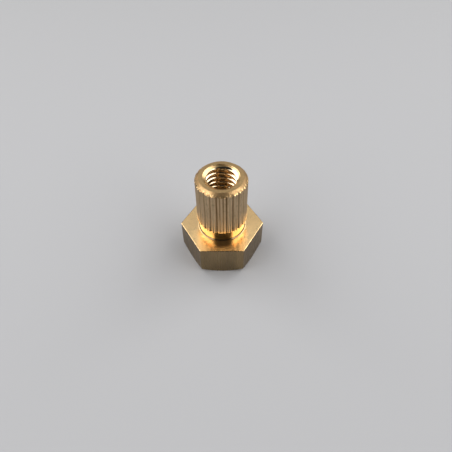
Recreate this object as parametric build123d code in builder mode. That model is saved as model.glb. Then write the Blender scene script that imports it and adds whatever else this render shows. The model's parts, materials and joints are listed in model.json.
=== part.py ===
"""Tapped insert: a brass insert turned in one piece from hexagon bar.

A hexagonal head carries an undercut neck and a straight-knurled shank, and an M6 hole is tapped
right through. The origin is the centre of the head's flat underside, +Z points up the shank, and
two flats of the head face -Y and +Y. All sizes are in millimetres.
"""

import os
from math import cos, radians, tan

from build123d import *

# Hexagonal head
ACROSS_FLATS = 13.0
HEAD_HEIGHT = 6.0
CORNER_RADIUS = 0.3  # rounded edges of the drawn bar
FOOT_DIAMETER = 12.5  # round seat left by the chamfer under the head
FOOT_CHAMFER_ANGLE = 30.0  # from the horizontal

# Neck and knurled shank
NECK_DIAMETER = 8.2
NECK_TOP = 8.1
NECK_FILLET = 0.25
SHANK_DIAMETER = 8.8
SHANK_CHAMFER = 0.65
OVERALL_HEIGHT = 17.4

# Straight knurl. The knurling wheel goes round in a whole number of half pitches, so its second
# turn cuts lighter grooves between the first ones, and the two merge at a seam in front.
GROOVES = 49
FIRST_GROOVE_ANGLE = -86.0  # azimuth of groove 0, just beside the seam at -Y
DEEP_GROOVE = (0.42, 0.22)  # width at the shank's surface, depth
LIGHT_GROOVE = (0.24, 0.09)
SEAM_GROOVE = (0.36, 0.17)

# Tapped hole, M6 x 1, at its minor diameter
MINOR_DIAMETER = 5.0
MOUTH_DIAMETER = 6.2
COUNTERSINK_ANGLE = 120.0  # included

across_corners = ACROSS_FLATS / cos(radians(30))
countersink_depth = (MOUTH_DIAMETER - MINOR_DIAMETER) / 2 / tan(radians(COUNTERSINK_ANGLE / 2))
foot_rise = (across_corners - FOOT_DIAMETER) / 2 * tan(radians(FOOT_CHAMFER_ANGLE))
tapped_length = OVERALL_HEIGHT - 2 * countersink_depth


def groove_size(index):
    """Width and depth of one knurl groove, counted anticlockwise from the seam."""
    if index in (0, GROOVES - 1):
        return SEAM_GROOVE
    return DEEP_GROOVE if index % 2 else LIGHT_GROOVE


with BuildPart() as tapped_insert:
    # Head, from hexagon bar with a flat facing -Y
    with BuildSketch() as bar_section:
        RegularPolygon(radius=ACROSS_FLATS / 2, side_count=6, major_radius=False, rotation=0)
    extrude(amount=HEAD_HEIGHT)
    fillet(tapped_insert.edges().filter_by(Axis.Z), radius=CORNER_RADIUS)

    # Chamfer under the head, turned, so it takes the corners and runs out on the flats
    with BuildSketch(Plane.XZ) as foot_profile:
        with BuildLine():
            Polyline(
                (0, 0),
                (FOOT_DIAMETER / 2, 0),
                (across_corners / 2, foot_rise),
                (across_corners / 2, HEAD_HEIGHT),
                (0, HEAD_HEIGHT),
                close=True,
            )
        make_face()
    revolve(axis=Axis.Z, mode=Mode.INTERSECT)

    # Neck and shank, turned above the head
    with BuildSketch(Plane.XZ) as shank_profile:
        with BuildLine():
            Polyline(
                (0, HEAD_HEIGHT),
                (NECK_DIAMETER / 2, HEAD_HEIGHT),
                (NECK_DIAMETER / 2, NECK_TOP),
                (SHANK_DIAMETER / 2, NECK_TOP),
                (SHANK_DIAMETER / 2, OVERALL_HEIGHT - SHANK_CHAMFER),
                (SHANK_DIAMETER / 2 - SHANK_CHAMFER, OVERALL_HEIGHT),
                (0, OVERALL_HEIGHT),
                close=True,
            )
        make_face()
    revolve(axis=Axis.Z)
    neck_corner = (
        tapped_insert.edges()
        .filter_by(GeomType.CIRCLE)
        .filter_by(lambda edge: abs(edge.radius - NECK_DIAMETER / 2) < 1e-3)
        .sort_by(Axis.Z)[0]
    )
    fillet(neck_corner, radius=NECK_FILLET)

    # Knurl grooves, open at the neck and at the chamfer
    for index in range(GROOVES):
        groove_width, groove_depth = groove_size(index)
        groove_angle = FIRST_GROOVE_ANGLE + index * 360 / GROOVES
        with BuildSketch(Plane.XY.offset(NECK_TOP)) as groove_section:
            with Locations(Rotation(0, 0, groove_angle)):
                Polygon(
                    (SHANK_DIAMETER / 2 - groove_depth, 0),
                    (SHANK_DIAMETER / 2 + groove_depth, -groove_width),
                    (SHANK_DIAMETER / 2 + groove_depth, groove_width),
                    align=None,
                )
        extrude(amount=OVERALL_HEIGHT - NECK_TOP, mode=Mode.SUBTRACT)

    # Tapped hole, countersunk at both ends
    with BuildSketch(Plane.XZ) as hole_profile:
        with BuildLine():
            Polyline(
                (0, 0),
                (MOUTH_DIAMETER / 2, 0),
                (MINOR_DIAMETER / 2, countersink_depth),
                (MINOR_DIAMETER / 2, OVERALL_HEIGHT - countersink_depth),
                (MOUTH_DIAMETER / 2, OVERALL_HEIGHT),
                (0, OVERALL_HEIGHT),
                close=True,
            )
        make_face()
    revolve(axis=Axis.Z, mode=Mode.SUBTRACT)

tapped_insert.part.label = "tapped_insert"

os.makedirs("parts", exist_ok=True)
export_step(tapped_insert.part, "parts/tapped_insert.step")

print(f"tapped wall {tapped_length:.4f} mm, from z = {countersink_depth:.4f} mm")
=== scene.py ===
"""Tapped insert: the looks of a brass insert turned in one piece from hexagon bar.

Laid out as an add-on with one panel. Everything is in metres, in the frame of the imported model:
the origin is the centre of the head's underside and +Z points up the knurled shank.
"""

import json
import random
from math import atan2, cos, hypot, pi, radians, sin, tan

import bmesh
import bpy
from bpy.props import FloatProperty, FloatVectorProperty, IntProperty, PointerProperty
from mathutils import Matrix, Vector, noise


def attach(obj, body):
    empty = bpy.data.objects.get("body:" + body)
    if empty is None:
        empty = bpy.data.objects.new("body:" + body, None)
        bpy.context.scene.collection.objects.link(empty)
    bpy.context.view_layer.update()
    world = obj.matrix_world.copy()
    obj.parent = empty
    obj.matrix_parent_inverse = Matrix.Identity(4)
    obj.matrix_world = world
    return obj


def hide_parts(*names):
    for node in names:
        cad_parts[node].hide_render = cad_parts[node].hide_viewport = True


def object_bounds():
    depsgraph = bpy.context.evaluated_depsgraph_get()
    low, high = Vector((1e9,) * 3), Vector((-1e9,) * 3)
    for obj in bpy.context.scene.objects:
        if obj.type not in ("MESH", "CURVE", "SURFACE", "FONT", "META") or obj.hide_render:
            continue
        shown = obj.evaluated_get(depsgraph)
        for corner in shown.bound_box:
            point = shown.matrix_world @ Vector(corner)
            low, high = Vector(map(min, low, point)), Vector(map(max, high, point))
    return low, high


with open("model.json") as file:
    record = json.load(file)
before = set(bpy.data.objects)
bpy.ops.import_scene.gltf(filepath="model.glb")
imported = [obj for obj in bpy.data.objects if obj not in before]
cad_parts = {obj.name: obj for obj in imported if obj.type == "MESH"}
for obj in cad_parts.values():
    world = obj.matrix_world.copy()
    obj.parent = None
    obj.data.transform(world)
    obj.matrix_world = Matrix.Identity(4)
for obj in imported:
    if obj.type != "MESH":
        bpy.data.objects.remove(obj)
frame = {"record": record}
CAD_LOW, CAD_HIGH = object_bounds()
NODE = "tapped_insert"
BODY = "root"
HOLE = next(m for m in frame["record"]["mounts"] if m["name"] == "tapped_hole")
MM = 0.001

# Places closer together than this are the same place
NEAR = 0.001 * MM

# Half the full angle of the cone at each end of the hole
CONE = radians(60)

# The point that the camera looks at
AIM = Vector((0.7, -1.2, 6.5)) * MM

bl_info = {
    "name": "Tapped insert",
    "version": (1, 0, 0),
    "blender": (4, 5, 0),
    "location": "View3D > Sidebar > Insert",
    "description": "Makes a knurled brass insert with a hexagonal head, and a plain stage for it",
    "category": "Object",
}

# The body's material slots, in the order in which its materials are added
TURNED, DRAWN, KNURLED, TAPPED = range(4)

# The mesh attribute that says how deep in a groove of the knurl a vertex lies
GROOVE = "groove"

# Brightness of the backdrop as the camera sees it, and of the room as the brass mirrors it
BACKDROP, ROOM = 0.5, 0.03


def length(name, description, default):
    """A length property, with its default in metres."""
    return FloatProperty(name=name, description=description, default=default, unit="LENGTH", precision=5)


def angle(name, description, degrees):
    """An angle property, with its default in degrees."""
    return FloatProperty(name=name, description=description, default=radians(degrees), subtype="ANGLE")


def tint(name, description, default):
    """A colour property."""
    return FloatVectorProperty(
        name=name, description=description, default=default, subtype="COLOR", min=0, max=1)


class InsertShape(bpy.types.PropertyGroup):
    """Sizes of the insert."""

    overall: length("Overall height", "From the seat to the top ring", CAD_HIGH.z)
    across_flats: length("Across flats", "Width of the hexagonal head", CAD_HIGH.y - CAD_LOW.y)
    head_height: length("Head height", "Height of the hexagonal head", 6.0 * MM)
    corner_radius: length("Corner radius", "Rounding of the drawn bar's six edges", 0.3 * MM)
    foot_radius: length("Foot radius", "Radius of the round seat under the head", 6.25 * MM)
    foot_slope: angle("Foot chamfer", "Slope of the chamfer under the head", 30)
    neck_radius: length("Neck radius", "Radius of the undercut neck", 4.1 * MM)
    neck_top: length("Neck top", "Height at which the knurled shank starts", 8.1 * MM)
    neck_fillet: length("Neck fillet", "Radius between the neck and the head", 0.25 * MM)
    shank_radius: length("Shank radius", "Radius over the knurl's crests", 4.4 * MM)
    shank_chamfer: length("Shank chamfer", "Size of the chamfer at the shank's end", 0.65 * MM)
    edge_break: length("Edge break", "Size of the head's broken top edge", 0.04 * MM)
    burr: length("Burr", "Unevenness of the shank chamfer's lower edge", 0.045 * MM)
    nicks: length("Nicks", "Depth of small nicks in the head's top edge", 0.03 * MM)
    minor_radius: length("Minor radius", "Radius at the thread's crests", HOLE["dims"]["r_mm"] * MM)
    major_radius: length("Major radius", "Radius at the thread's roots", 3.0 * MM)
    mouth_radius: length("Mouth radius", "Radius of the countersinks", 3.1 * MM)
    pitch: length("Thread pitch", "Rise of the thread in one turn", 1.0 * MM)
    thread_start: angle("Thread start", "Azimuth of the thread's root at the seat", 0)
    grooves: IntProperty(name="Grooves", description="Grooves in the knurl", default=49, min=3)
    first_groove: angle("First groove", "Azimuth of the groove beside the knurl's seam", -86)


class InsertFinish(bpy.types.PropertyGroup):
    """Colours of the brass."""

    brass: tint("Brass", "Colour of clean turned brass", (0.87, 0.60, 0.29))
    # Also painted shade: on the drawn flats this colour partly stands in for the shadowed floor they
    # mirror, and at the neck's fillet for the shade in that crease
    tarnish_and_shade: tint("Tarnish", "Colour of dull brass on drawn flats and in stains", (0.37, 0.265, 0.145))
    # Paler than the brass as a painted highlight, to whiten the thread's reflections
    cut: tint("Cut thread", "Colour of the freshly cut thread", (0.92, 0.72, 0.47))
    face: tint("Face", "Colour of the flat ring at the shank's end", (0.42, 0.285, 0.135))
    ends: tint("Ends", "Colour of the shank's worn end and chamfer", (0.62, 0.39, 0.18))
    rolled: tint("Rolled", "Colour of the knurl's pressed crests", (0.92, 0.68, 0.42))
    # A dark colour that the knurl's grooves take on more the deeper they are, and the drawn flats' fine
    # lines a little
    dark_brass: tint("Grime", "Colour at the bottom of the knurl's grooves", (0.12, 0.09, 0.05))


class StageLook(bpy.types.PropertyGroup):
    """The floor and the camera."""

    floor: tint("Floor", "Colour of the floor", (0.32, 0.32, 0.327))
    lens: FloatProperty(name="Lens", description="Focal length", default=32.4, subtype="DISTANCE_CAMERA")
    distance: length("Distance", "From the camera to the point it looks at", 73.1 * MM)
    azimuth: angle("Azimuth", "Direction of the camera round the insert", 0.3)
    elevation: angle("Elevation", "Height of the camera above the floor", 49.6)
    roll: angle("Roll", "Turn of the camera about its line of sight", -0.5)


# ---------------------------------------------------------------- mesh

def polar(vert):
    """Radius and azimuth of a vertex."""
    return hypot(vert.co.x, vert.co.y), atan2(vert.co.y, vert.co.x)


def place(vert, radius, azimuth, height):
    """Puts a vertex at a radius, azimuth and height."""
    vert.co = (radius * cos(azimuth), radius * sin(azimuth), height)


def rough(vert, grain):
    """A random value between -1 and 1 that varies smoothly over the surface."""
    return noise.noise(vert.co / grain)


def wire(bm, points):
    """An open profile in the XZ plane, from (radius, height) points."""
    verts = [bm.verts.new((radius, 0, height)) for radius, height in points]
    for pair in zip(verts, verts[1:]):
        bm.edges.new(pair)
    return verts


def rim(bm, height, low=0.0, high=1.0):
    """Boundary edges at a height, of any radius or with both ends between two radii."""
    near = 2 * NEAR
    return [
        edge for edge in bm.edges
        if edge.is_boundary
        and all(abs(v.co.z - height) < near and low - near < polar(v)[0] < high + near
                for v in edge.verts)
    ]


def verts_in(geometry):
    """The vertices among an operator's results."""
    return [g for g in geometry if isinstance(g, bmesh.types.BMVert)]


def extrude_rim(bm, edges):
    """Extrudes a rim and returns its new vertices."""
    return verts_in(bmesh.ops.extrude_edge_only(bm, edges=edges)["geom"])


def mesh_from(bm, name):
    """A new mesh from a bmesh, which is freed."""
    mesh = bpy.data.meshes.new(name)
    bm.to_mesh(mesh)
    bm.free()
    return mesh


def join(target, source):
    """Adds one bmesh to another and frees it."""
    mesh = mesh_from(source, "joined")
    target.from_mesh(mesh)
    bpy.data.meshes.remove(mesh)


class Knurl:
    """Depth of the knurl over the shank, with deep and light grooves in turn and a seam in front."""

    # Width and depth of each kind of groove, and how far single grooves vary from them
    DEEP, LIGHT, SEAM = (0.42 * MM, 0.22 * MM), (0.24 * MM, 0.09 * MM), (0.36 * MM, 0.17 * MM)
    VARIES = (0.85, 1.1)
    SEED = 5

    # The flare at the lower end, and how much wider and deeper it makes a groove
    FLARE_HEIGHT = 1.1 * MM
    FLARE_WIDTH = 0.7
    FLARE_DEPTH = 0.6

    # Steps of the spin to each groove
    SAMPLES = 8

    def __init__(self, shape):
        self.shape = shape
        self.step = 2 * pi / shape.grooves
        draw = random.Random(self.SEED)
        self.grooves = []
        for index in range(shape.grooves):
            width, depth = self.LIGHT if index % 2 == 0 else self.DEEP
            if index in (0, shape.grooves - 1):
                width, depth = self.SEAM
            vary = draw.uniform(*self.VARIES)
            self.grooves.append((width * vary, depth * vary))

    def flare(self, height):
        """How far the grooves have opened out, from 0 up the shank to 1 at its lower end."""
        return max(0.0, 1 - (height - self.shape.neck_top) / self.FLARE_HEIGHT) ** 2

    def depth(self, azimuth, height):
        """How far the surface lies under the crests."""
        turn = (azimuth - self.shape.first_groove) / self.step
        index = round(turn)
        width, depth = self.grooves[index % self.shape.grooves]
        width *= 1 + self.FLARE_WIDTH * self.flare(height)
        depth *= 1 + self.FLARE_DEPTH * self.flare(height)
        across = abs(turn - index) * self.step * self.shape.shank_radius
        return depth * max(0.0, 1 - 2 * across / width)


def spin_shank(shape):
    """The plain shank, its chamfer and its neck, spun from a profile and open at both ends."""
    bm = bmesh.new()
    chamfer_low = shape.overall - shape.shank_chamfer
    skirt = 0.1 * MM
    verts = wire(bm, [
        (shape.shank_radius - shape.shank_chamfer, shape.overall),
        (shape.shank_radius, chamfer_low),
        (shape.shank_radius, shape.neck_top),
        (shape.neck_radius, shape.neck_top),
        (shape.neck_radius, shape.head_height),
        (shape.neck_radius + shape.neck_fillet + skirt, shape.head_height),
    ])
    neck_root = verts[4]
    bmesh.ops.bevel(bm, geom=[neck_root], offset=shape.neck_fillet, segments=5, profile=0.5,
                    affect="VERTICES", material=-1)
    sloped = [e for e in bm.edges if min(v.co.z for v in e.verts) > chamfer_low - NEAR]
    bmesh.ops.subdivide_edges(bm, edges=sloped, cuts=4)
    upright = [e for e in bm.edges if e.calc_length() > shape.shank_radius]
    bmesh.ops.subdivide_edges(bm, edges=upright, cuts=25)
    bmesh.ops.spin(bm, geom=bm.verts[:] + bm.edges[:], cent=(0, 0, 0), axis=(0, 0, 1), dvec=(0, 0, 0),
                   angle=2 * pi, steps=shape.grooves * Knurl.SAMPLES, use_merge=True)
    bmesh.ops.rotate(bm, verts=bm.verts, cent=(0, 0, 0),
                     matrix=Matrix.Rotation(shape.first_groove, 3, "Z"))
    return bm


def knurl_shank(bm, shape):
    """Presses the grooves into the shank and its chamfer, and raises burrs along the chamfer."""
    burr_grain = 0.13 * MM
    flat_radius = shape.shank_radius - shape.shank_chamfer
    knurl = Knurl(shape)
    groove = bm.verts.layers.float.new(GROOVE)
    for vert in bm.verts:
        radius, azimuth = polar(vert)
        height = vert.co.z
        on_shank = height > shape.neck_top - NEAR and radius > shape.neck_radius + NEAR
        on_chamfer = height > shape.overall - shape.shank_chamfer - NEAR
        if not on_shank and not on_chamfer:
            continue
        cut = knurl.depth(azimuth, height)
        vert[groove] = cut / knurl.DEEP[1] * (1 - knurl.flare(height))
        if on_chamfer:
            share = (radius - flat_radius) / shape.shank_chamfer
            run = share * (shape.shank_chamfer - cut)
            burr = shape.burr * share ** 2 * rough(vert, burr_grain)
            place(vert, flat_radius + run + burr, azimuth, shape.overall - run + burr)
        else:
            place(vert, radius - cut, azimuth, height)


def form_head(shape):
    """The hexagonal head, open at the top and underneath."""
    bm = bmesh.new()
    nick_grain = 0.5 * MM
    corner = shape.across_flats / 2 / cos(pi / 6)
    bmesh.ops.create_circle(bm, cap_ends=True, segments=6, radius=corner,
                            matrix=Matrix.Rotation(pi / 6, 4, "Z"))
    top = verts_in(bmesh.ops.extrude_face_region(bm, geom=bm.faces[:])["geom"])
    bmesh.ops.translate(bm, verts=top, vec=(0, 0, shape.head_height - shape.edge_break))
    upright = [e for e in bm.edges if abs(e.verts[0].co.z - e.verts[1].co.z) > shape.head_height / 2]
    bmesh.ops.bevel(bm, geom=upright, offset=shape.corner_radius * tan(pi / 6), offset_type="OFFSET",
                    segments=6, profile=0.5, affect="EDGES", material=-1)
    ends = [f for f in bm.faces if abs(f.normal.z) > 0.5]
    bmesh.ops.delete(bm, geom=ends, context="FACES_ONLY")
    sides = [e for e in bm.edges if e.is_boundary and e.calc_length() > shape.corner_radius]
    bmesh.ops.subdivide_edges(bm, edges=sides, cuts=39)

    # The broken edge round the top, in two steps that each rise and go in by a share of its size
    for rise, inset in ((0.65, 0.25), (0.35, 0.75)):
        height = max(v.co.z for v in bm.verts)
        verts = extrude_rim(bm, rim(bm, height))
        factor = 1 - inset * shape.edge_break / (shape.across_flats / 2)
        bmesh.ops.scale(bm, verts=verts, vec=(factor, factor, 1))
        bmesh.ops.translate(bm, verts=verts, vec=(0, 0, rise * shape.edge_break))
        for vert in verts:
            vert.co.xy *= 1 - shape.nicks / shape.across_flats * (1 + rough(vert, nick_grain))

    # The turned chamfer underneath, from the flats and corners down to the round seat
    foot = rim(bm, 0)
    for vert in {v for e in foot for v in e.verts}:
        radius, azimuth = polar(vert)
        place(vert, radius, azimuth, (radius - shape.foot_radius) * tan(shape.foot_slope))
    for vert in extrude_rim(bm, foot):
        place(vert, shape.foot_radius, polar(vert)[1], 0)
    return bm


def wind_thread(shape):
    """The thread, wound from below the seat to past the shank's end."""
    bm = bmesh.new()
    steps = 98
    spare_turns = 2
    rounding = 0.04 * MM
    depth = shape.major_radius - shape.minor_radius
    root = shape.pitch / 16
    crest = root + depth * tan(radians(30))
    verts = wire(bm, [
        (shape.major_radius, 0),
        (shape.major_radius, root),
        (shape.minor_radius, crest),
        (shape.minor_radius, shape.pitch - crest),
        (shape.major_radius, shape.pitch - root),
        (shape.major_radius, shape.pitch),
    ])
    bmesh.ops.bevel(bm, geom=verts[1:5], offset=rounding, segments=2, profile=0.5,
                    affect="VERTICES", material=-1)
    flanks = [e for e in bm.edges if e.calc_length() > depth / 2]
    bmesh.ops.subdivide_edges(bm, edges=flanks, cuts=3)
    bmesh.ops.translate(bm, verts=bm.verts, vec=(0, 0, -spare_turns * shape.pitch))
    bmesh.ops.rotate(bm, verts=bm.verts, cent=(0, 0, 0),
                     matrix=Matrix.Rotation(shape.thread_start, 3, "Z"))
    bmesh.ops.spin(bm, geom=bm.verts[:] + bm.edges[:], cent=(0, 0, 0), axis=(0, 0, 1),
                   dvec=(0, 0, shape.pitch / steps), angle=2 * pi, steps=steps)
    turn = bm.verts[:] + bm.edges[:] + bm.faces[:]
    for count in range(1, int(shape.overall / shape.pitch) + 2 * spare_turns):
        copy = verts_in(bmesh.ops.duplicate(bm, geom=turn)["geom"])
        bmesh.ops.translate(bm, verts=copy, vec=(0, 0, count * shape.pitch))
    bmesh.ops.remove_doubles(bm, verts=bm.verts, dist=2 * NEAR)
    return bm


def tap_hole(shape):
    """The threaded hole: the thread cut off at both ends, and opened there by the countersinks."""
    bm = wind_thread(shape)
    for height, outwards in ((0, (0, 0, -1)), (shape.overall, (0, 0, 1))):
        bmesh.ops.bisect_plane(bm, geom=bm.verts[:] + bm.edges[:] + bm.faces[:], dist=0.1 * NEAR,
                               plane_co=(0, 0, height), plane_no=outwards, clear_outer=True)
    opening = shape.mouth_radius - shape.minor_radius
    cone_depth = opening / tan(CONE)
    for vert in bm.verts:
        radius, azimuth = polar(vert)
        from_end = min(vert.co.z, shape.overall - vert.co.z)
        cone_radius = shape.mouth_radius - from_end / cone_depth * opening
        place(vert, max(radius, cone_radius), azimuth, vert.co.z)
    return bm


def finish_of(face, shape):
    """Which of the four finishes a face has, from its place and its slope."""
    centre = face.calc_center_median()
    radius = hypot(centre.x, centre.y)
    level = abs(face.normal.z)
    if radius < shape.mouth_radius and level < 0.999:
        return TAPPED
    if centre.z > shape.neck_top + NEAR and level < 0.6:
        return KNURLED
    if centre.z < shape.head_height and level < 0.4:
        return DRAWN
    return TURNED


def mark_edges(bm, shape):
    """Makes edges sharp where faces meet at an angle, and all round the shoulder's outer edge."""
    sharp, sharp_on_knurl = radians(28), radians(75)
    for edge in bm.edges:
        finishes = {face.material_index for face in edge.link_faces}
        level_faces = sum(abs(face.normal.z) > 0.9999 for face in edge.link_faces)
        outer = level_faces == 1 and polar(edge.verts[0])[0] > shape.shank_radius
        limit = sharp_on_knurl if finishes == {KNURLED} else sharp
        edge.smooth = edge.calc_face_angle(0) < limit and not outer


def insert_mesh(shape):
    """The whole insert as one closed mesh."""
    bm = spin_shank(shape)
    knurl_shank(bm, shape)
    join(bm, form_head(shape))
    join(bm, tap_hole(shape))
    flat_radius = shape.shank_radius - shape.shank_chamfer
    for height, low, high, up in (
        (shape.overall, shape.mouth_radius, flat_radius, 1),
        (shape.head_height, shape.neck_radius, shape.across_flats, 1),
        (0, shape.mouth_radius, shape.foot_radius, -1),
    ):
        edges = rim(bm, height, low, high)
        bmesh.ops.triangle_fill(bm, use_beauty=True, edges=edges, normal=(0, 0, up))
    bmesh.ops.remove_doubles(bm, verts=bm.verts, dist=0.1 * NEAR)
    bmesh.ops.recalc_face_normals(bm, faces=bm.faces)
    open_edges = [e for e in bm.edges if not e.is_manifold]
    if open_edges:
        spots = [tuple(round(c / MM, 3) for c in e.verts[0].co) for e in open_edges[:6]]
        raise RuntimeError(f"the insert's mesh has {len(open_edges)} open edges, such as at {spots}")
    for face in bm.faces:
        face.smooth = True
        face.material_index = finish_of(face, shape)
    mark_edges(bm, shape)
    return mesh_from(bm, "insert_body")


# ---------------------------------------------------------------- materials

class Nodes:
    """Short ways to add and link the nodes of one material or world."""

    def __init__(self, owner):
        owner.use_nodes = True
        self.tree = owner.node_tree
        self.tree.nodes.clear()

    def feed(self, socket, value):
        """Links a socket to another, or gives it a value."""
        if isinstance(value, bpy.types.NodeSocket):
            self.tree.links.new(value, socket)
        else:
            socket.default_value = value

    def add(self, kind, inputs=None, **settings):
        """Adds a node with its settings, and feeds its inputs."""
        node = self.tree.nodes.new(kind)
        for name, value in settings.items():
            setattr(node, name, value)
        for name, value in (inputs or {}).items():
            self.feed(node.inputs[name], value)
        return node

    def where(self):
        """Where a point lies in its object's own frame."""
        return self.add("ShaderNodeTexCoord").outputs["Object"]

    def height(self, where):
        """Height of a point above the seat."""
        return self.add("ShaderNodeSeparateXYZ", {"Vector": where}).outputs["Z"]

    def stretched(self, where, upwards):
        """A place with its height scaled, so that a pattern on it runs up the insert."""
        return self.add("ShaderNodeMapping", {"Vector": where, "Scale": (1, 1, upwards)}).outputs[0]

    def noise(self, where, scale, detail=2.0, roughness=0.5):
        """A noise pattern with its scale in cycles to the metre."""
        node = self.add("ShaderNodeTexNoise", {
            "Vector": where, "Scale": scale, "Detail": detail, "Roughness": roughness})
        return node.outputs["Fac"]

    def span(self, value, source, target=(0.0, 1.0)):
        """Maps a value from one range to another, and holds it within that."""
        node = self.add("ShaderNodeMapRange", {
            "Value": value, "From Min": source[0], "From Max": source[1],
            "To Min": target[0], "To Max": target[1]})
        return node.outputs["Result"]

    def math(self, operation, first, second=0.0):
        """One step of arithmetic."""
        return self.add("ShaderNodeMath", {0: first, 1: second}, operation=operation).outputs[0]

    def plus(self, first, second):
        """The sum of two values."""
        return self.math("ADD", first, second)

    def times(self, first, second):
        """The product of two values."""
        return self.math("MULTIPLY", first, second)

    def mix(self, factor, first, second):
        """A colour between two others."""
        node = self.add("ShaderNodeMix", data_type="RGBA")
        for index, value in ((0, factor), (6, first), (7, second)):
            self.feed(node.inputs[index], value)
        return node.outputs[2]

    def cover(self, shader, colour, roughness, relief, strength):
        """Gives a shader its colour and roughness, and a fine relief as bump."""
        bump = self.add("ShaderNodeBump", {"Height": relief, "Strength": strength, "Distance": 0.01 * MM})
        self.feed(shader.inputs["Base Color"], colour)
        self.feed(shader.inputs["Roughness"], roughness)
        self.feed(shader.inputs["Normal"], bump.outputs[0])


def rgba(colour, gain=1.0):
    """A colour made lighter or darker, for a node's socket."""
    return (*(min(1.0, c * gain) for c in colour), 1.0)


def brass(name, finish):
    """A brass material, its node helper, its shader and where a point on it lies."""
    material = bpy.data.materials.new(name)
    nodes = Nodes(material)
    shader = nodes.add("ShaderNodeBsdfPrincipled", {"Metallic": 1.0})
    nodes.add("ShaderNodeOutputMaterial", {"Surface": shader.outputs[0]})
    material.diffuse_color = (*finish.brass, 1)
    return material, nodes, shader, nodes.where()


def turned_brass(shape, finish):
    """Lathe-turned faces: fine rings round the axis, bright on the head and worn at the shank's end, with
    painted shade at the neck's fillet and painted glints on burrs at the chamfer.
    """
    material, nodes, shader, where = brass("brass_turned", finish)
    height = nodes.height(where)
    chamfer_low = shape.overall - shape.shank_chamfer
    rings = nodes.add("ShaderNodeTexWave", {
        "Vector": where, "Scale": 2600.0, "Distortion": 1.2, "Detail": 2.0, "Detail Scale": 0.4},
        wave_type="RINGS", rings_direction="Z").outputs["Fac"]
    mottle = nodes.noise(where, 900.0, 4.0, 0.6)
    patches = nodes.noise(where, 260.0)
    flecks = nodes.noise(where, 1400.0, 3.0, 0.7)
    chatter = nodes.noise(where, 3400.0)

    # Clean brass with stains, lighter mottling and dark flecks
    stain = nodes.span(patches, (0.35, 0.7), (0.0, 0.5))
    colour = nodes.mix(stain, rgba(finish.brass), rgba(finish.tarnish_and_shade, 1.9))
    colour = nodes.mix(nodes.span(mottle, (0.3, 0.7), (0.0, 0.25)), colour, rgba(finish.brass, 1.12))
    colour = nodes.mix(nodes.span(flecks, (0.55, 0.7), (0.0, 0.55)), colour, rgba(finish.tarnish_and_shade, 1.2))
    roughness = nodes.span(mottle, (0.2, 0.8), (0.15, 0.22))
    relief = nodes.plus(nodes.times(rings, 0.35), nodes.times(mottle, 0.4))

    # The shank's end: a worn chamfer and, within it, a darker flat ring
    end_starts = chamfer_low - shape.shank_chamfer
    end = nodes.span(height, (end_starts - 0.1 * MM, end_starts + 0.1 * MM))
    worn = nodes.mix(nodes.span(mottle, (0.35, 0.65)), rgba(finish.ends, 0.8), rgba(finish.ends, 1.2))
    colour = nodes.mix(end, colour, worn)
    flat = nodes.span(height, (shape.overall - 0.02 * MM, shape.overall - 0.01 * MM), (0.0, 0.85))
    colour = nodes.mix(flat, colour, rgba(finish.face))
    roughness = nodes.plus(roughness, nodes.times(end, 0.3))

    # Burrs, most of them at the chamfer's lower edge: relief and less roughness, and a lighter colour on
    # their spots as a painted glint
    fewer = nodes.span(height, (chamfer_low - 0.15 * MM, shape.overall - 0.1 * MM), (1.0, 0.1))
    burrs = nodes.times(fewer, end)
    relief = nodes.plus(relief, nodes.times(nodes.times(chatter, burrs), 14.0))
    burr_and_painted_glint = nodes.times(nodes.span(chatter, (0.52, 0.57)), burrs)
    colour = nodes.mix(burr_and_painted_glint, colour, rgba(finish.brass, 1.15))
    roughness = nodes.math("SUBTRACT", roughness, nodes.times(burr_and_painted_glint, 0.3))

    # Painted shade: a dark line at the neck's fillet, in the crease where it meets the head, and a
    # shoulder a little duller than the neck
    above_fillet = nodes.math("SUBTRACT", height, shape.head_height + 0.14 * MM)
    root = nodes.span(nodes.math("ABSOLUTE", above_fillet), (0.12 * MM, 0.13 * MM), (0.7, 0.0))
    colour = nodes.mix(root, colour, rgba(finish.tarnish_and_shade, 0.6))
    above_head = (shape.head_height + 0.01 * MM, shape.head_height + 0.02 * MM)
    roughness = nodes.plus(roughness, nodes.span(height, above_head, (0.04, -0.03)))

    nodes.cover(shader, colour, roughness, relief, strength=0.5)
    shader.inputs["Anisotropic"].default_value = 0.4
    shader.inputs["Anisotropic Rotation"].default_value = 0.25
    tangent = nodes.add("ShaderNodeTangent", direction_type="RADIAL", axis="Z")
    nodes.feed(shader.inputs["Tangent"], tangent.outputs[0])
    return material


def drawn_brass(finish):
    """The bar's drawn flats: fine lines along the bar and a dull brown skin, whose darkness is partly
    painted shade standing in for the shadowed floor in front that they mirror.
    """
    material, nodes, shader, where = brass("brass_drawn", finish)
    drawn = nodes.stretched(where, 0.03)
    lines = nodes.noise(drawn, 3500.0, 3.0, 0.6)
    broad = nodes.noise(drawn, 700.0, 1.0)
    darkening = nodes.noise(where, 420.0, 4.0, 0.6)
    dull = nodes.span(broad, (0.35, 0.65), (0.85, 1.0))
    skin = nodes.plus(dull, nodes.span(darkening, (0.45, 0.75), (0.0, 0.15)))
    # Painted shade: the flats are mostly the dark colour, which partly stands in for the shadowed floor
    # in front that they mirror
    colour = nodes.mix(skin, rgba(finish.brass), rgba(finish.tarnish_and_shade))
    colour = nodes.mix(nodes.span(lines, (0.35, 0.65), (0.0, 0.12)), colour, rgba(finish.dark_brass))
    roughness = nodes.span(lines, (0.25, 0.75), (0.22, 0.34))
    relief = nodes.plus(lines, nodes.times(broad, 1.5))
    nodes.cover(shader, colour, roughness, relief, strength=0.35)
    return material


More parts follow.
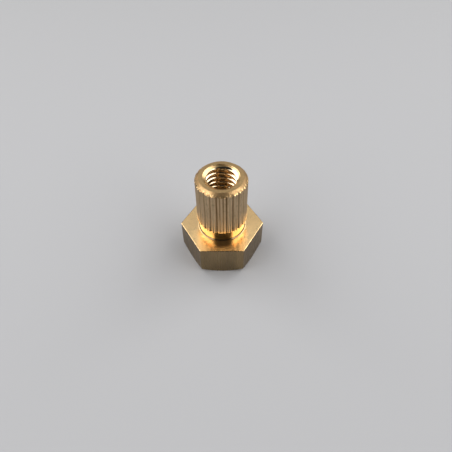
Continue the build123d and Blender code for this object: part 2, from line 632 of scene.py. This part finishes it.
def knurled_brass(shape, finish):
    """The rolled knurl: pressed crests, dull between them, and less rough and lighter at its lower end,
    the lighter colour a painted reflection of the bright shoulder.
    """
    material, nodes, shader, where = brass("brass_knurled", finish)
    streaks = nodes.noise(nodes.stretched(where, 0.12), 2400.0, 3.0, 0.6)
    nicks = nodes.noise(where, 1500.0, 3.0, 0.6)
    dull = nodes.span(streaks, (0.3, 0.7), (0.1, 0.45))
    skin = nodes.plus(dull, nodes.span(nicks, (0.55, 0.8), (0.0, 0.4)))
    colour = nodes.mix(skin, rgba(finish.rolled, 0.95), rgba(finish.tarnish_and_shade))
    # Darker towards the bottom of the deeper grooves
    deep = nodes.add("ShaderNodeAttribute", attribute_name=GROOVE, attribute_type="GEOMETRY")
    darkening = nodes.span(deep.outputs["Fac"], (0.1, 1.0), (0.0, 0.5))
    colour = nodes.mix(darkening, colour, rgba(finish.dark_brass))
    # Painted reflection: the lower end is made lighter, standing in for the bright shoulder that it
    # mirrors; it is also less rough there
    foot = nodes.span(nodes.height(where), (shape.neck_top + 0.8 * MM, shape.neck_top))
    colour = nodes.mix(nodes.times(foot, 0.8), colour, rgba(finish.brass, 1.1))
    roughness = nodes.span(streaks, (0.2, 0.8), (0.36, 0.50))
    roughness = nodes.math("SUBTRACT", roughness, nodes.times(foot, 0.22))
    nodes.cover(shader, colour, roughness, nodes.plus(streaks, nicks), strength=0.4)
    return material


def tapped_brass(shape, finish):
    """The tapped thread: smooth flanks that a tap has cut and burnished, in a paler brass as a painted
    highlight that whitens their reflections, and a duller mouth.
    """
    material, nodes, shader, where = brass("brass_tapped", finish)
    mottle = nodes.noise(where, 1300.0, 3.0, 0.6)
    # Painted highlight: the thread's paler colour whitens its reflections
    colour = nodes.mix(nodes.span(mottle, (0.4, 0.8), (0.0, 0.3)), rgba(finish.cut), rgba(finish.tarnish_and_shade))
    mouth = nodes.span(nodes.height(where), (shape.overall - 0.36 * MM, shape.overall - 0.32 * MM))
    colour = nodes.mix(mouth, colour, rgba(finish.brass, 0.85))
    roughness = nodes.plus(nodes.span(mottle, (0.2, 0.8), (0.08, 0.16)), nodes.times(mouth, 0.2))
    nodes.cover(shader, colour, roughness, mottle, strength=0.25)
    return material


# ---------------------------------------------------------------- stage

def towards(azimuth, elevation):
    """The direction from the insert to something that stands round it, from azimuth 0 in front."""
    return Vector((sin(azimuth) * cos(elevation), -cos(azimuth) * cos(elevation), sin(elevation)))


def stand(scene, thing, azimuth, elevation, distance):
    """Stands something round the insert and turns it to face the insert. Angles are in degrees."""
    direction = towards(radians(azimuth), radians(elevation))
    thing.location = direction * distance
    thing.rotation_euler = direction.to_track_quat("Z", "Y").to_euler()
    scene.collection.objects.link(thing)


def soft_box(scene, name, azimuth, elevation, distance, size, power):
    """A soft box that points at the insert, with its angles in degrees and its power in watts."""
    lamp = bpy.data.lights.new(name, "AREA")
    lamp.shape = "RECTANGLE"
    lamp.size, lamp.size_y = size
    lamp.energy = power
    stand(scene, bpy.data.objects.new(name, lamp), azimuth, elevation, distance)


def floor(scene, colour):
    """A plain floor that fades into the backdrop, and looks paler to the camera than to the brass."""
    bm = bmesh.new()
    bmesh.ops.create_grid(bm, x_segments=1, y_segments=1, size=1.5)
    bmesh.ops.translate(bm, verts=bm.verts, vec=(0, 0, -0.01 * MM))
    mesh = mesh_from(bm, "floor")
    ground = bpy.data.objects.new("floor", mesh)
    scene.collection.objects.link(ground)

    material = bpy.data.materials.new("floor_paint")
    nodes = Nodes(material)
    seen = nodes.add("ShaderNodeLightPath").outputs["Is Camera Ray"]
    paint = nodes.mix(seen, rgba(colour), rgba(colour, 1.5))
    shader = nodes.add("ShaderNodeBsdfPrincipled", {"Base Color": paint, "Roughness": 0.9})
    away = nodes.add("ShaderNodeVectorMath", {0: nodes.where()}, operation="LENGTH").outputs["Value"]
    fade = nodes.times(nodes.span(away, (0.05, 0.3)), seen)
    sky = nodes.add("ShaderNodeEmission", {"Color": (1, 1, 1, 1), "Strength": BACKDROP})
    blend = nodes.add("ShaderNodeMixShader", {0: fade, 1: shader.outputs[0], 2: sky.outputs[0]})
    nodes.add("ShaderNodeOutputMaterial", {"Surface": blend.outputs[0]})
    mesh.materials.append(material)


def dark_card(scene):
    """A dark card high in front, for the brass to mirror. The camera doesn't see it."""
    bm = bmesh.new()
    bmesh.ops.create_circle(bm, cap_ends=True, segments=32, radius=0.065)
    mesh = mesh_from(bm, "dark_card")
    card = bpy.data.objects.new("dark_card", mesh)
    stand(scene, card, azimuth=4, elevation=50, distance=0.11)

    material = bpy.data.materials.new("card_black")
    nodes = Nodes(material)
    black = rgba((0.02, 0.02, 0.02))
    shader = nodes.add("ShaderNodeBsdfPrincipled", {"Base Color": black, "Roughness": 1.0})
    nodes.add("ShaderNodeOutputMaterial", {"Surface": shader.outputs[0]})
    mesh.materials.append(material)
    card.visible_camera = False
    card.visible_shadow = False
    card.visible_diffuse = False


def backdrop(scene):
    """An even backdrop for the camera, and a nearly dark room for everything else."""
    world = bpy.data.worlds.new("studio")
    nodes = Nodes(world)
    seen = nodes.add("ShaderNodeLightPath").outputs["Is Camera Ray"]
    strength = nodes.span(seen, (0.0, 1.0), (ROOM, BACKDROP))
    sky = nodes.add("ShaderNodeBackground", {"Color": (1, 1, 1, 1), "Strength": strength})
    nodes.add("ShaderNodeOutputWorld", {"Surface": sky.outputs[0]})
    scene.world = world


def camera(scene, look):
    """The camera, aimed at the insert and turned a little about its line of sight."""
    data = bpy.data.cameras.new("camera")
    data.lens = look.lens
    data.sensor_width = 36
    data.clip_start = 1 * MM
    holder = bpy.data.objects.new("camera", data)
    back = towards(look.azimuth, look.elevation)
    turn = back.to_track_quat("Z", "Y").to_matrix().to_4x4() @ Matrix.Rotation(look.roll, 4, "Z")
    holder.matrix_world = Matrix.Translation(AIM + back * look.distance) @ turn
    scene.collection.objects.link(holder)
    scene.camera = holder


# ---------------------------------------------------------------- operators

class INSERT_OT_body(bpy.types.Operator):
    """Makes the insert: hexagonal head, neck, knurled shank and tapped hole in one piece"""

    bl_idname = "insert.body"
    bl_label = "Make insert"

    def execute(self, context):
        shape, finish = context.scene.insert_shape, context.scene.insert_finish
        mesh = insert_mesh(shape)
        mesh.materials.append(turned_brass(shape, finish))
        mesh.materials.append(drawn_brass(finish))
        mesh.materials.append(knurled_brass(shape, finish))
        mesh.materials.append(tapped_brass(shape, finish))
        body = bpy.data.objects.new("insert_body", mesh)
        context.scene.collection.objects.link(body)
        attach(body, BODY)
        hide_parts(NODE)
        return {"FINISHED"}


class INSERT_OT_stage(bpy.types.Operator):
    """Makes the floor, the soft light and the camera"""

    bl_idname = "insert.stage"
    bl_label = "Make stage"

    def execute(self, context):
        scene, look = context.scene, context.scene.insert_stage
        floor(scene, look.floor)
        dark_card(scene)
        backdrop(scene)
        soft_box(scene, "left_box", -88, 44, distance=0.35, size=(0.64, 0.21), power=1.20)
        soft_box(scene, "right_box", 92, 44, distance=0.35, size=(0.62, 0.21), power=1.15)
        soft_box(scene, "back_box", 180, 64, distance=0.45, size=(0.9, 0.21), power=0.62)
        soft_box(scene, "low_box", 180, 40, distance=0.45, size=(0.9, 0.16), power=0.22)
        camera(scene, look)
        scene.view_settings.view_transform = "Standard"
        return {"FINISHED"}


class VIEW3D_PT_insert(bpy.types.Panel):
    """The insert's sizes, colours and buttons"""

    bl_label = "Tapped insert"
    bl_space_type = "VIEW_3D"
    bl_region_type = "UI"
    bl_category = "Insert"

    def draw(self, context):
        scene = context.scene
        for group in (scene.insert_shape, scene.insert_finish, scene.insert_stage):
            for name in group.__annotations__:
                self.layout.prop(group, name)
        self.layout.operator(INSERT_OT_body.bl_idname)
        self.layout.operator(INSERT_OT_stage.bl_idname)


CLASSES = (InsertShape, InsertFinish, StageLook, INSERT_OT_body, INSERT_OT_stage, VIEW3D_PT_insert)


def register():
    """Adds the classes, and the scene's sizes and colours."""
    for cls in CLASSES:
        bpy.utils.register_class(cls)
    bpy.types.Scene.insert_shape = PointerProperty(type=InsertShape)
    bpy.types.Scene.insert_finish = PointerProperty(type=InsertFinish)
    bpy.types.Scene.insert_stage = PointerProperty(type=StageLook)


def unregister():
    """Takes away what register adds."""
    del bpy.types.Scene.insert_stage
    del bpy.types.Scene.insert_finish
    del bpy.types.Scene.insert_shape
    for cls in reversed(CLASSES):
        bpy.utils.unregister_class(cls)


def main():
    """Makes everything."""
    register()
    bpy.ops.insert.stage()
    bpy.ops.insert.body()


if __name__ == "__main__":
    main()
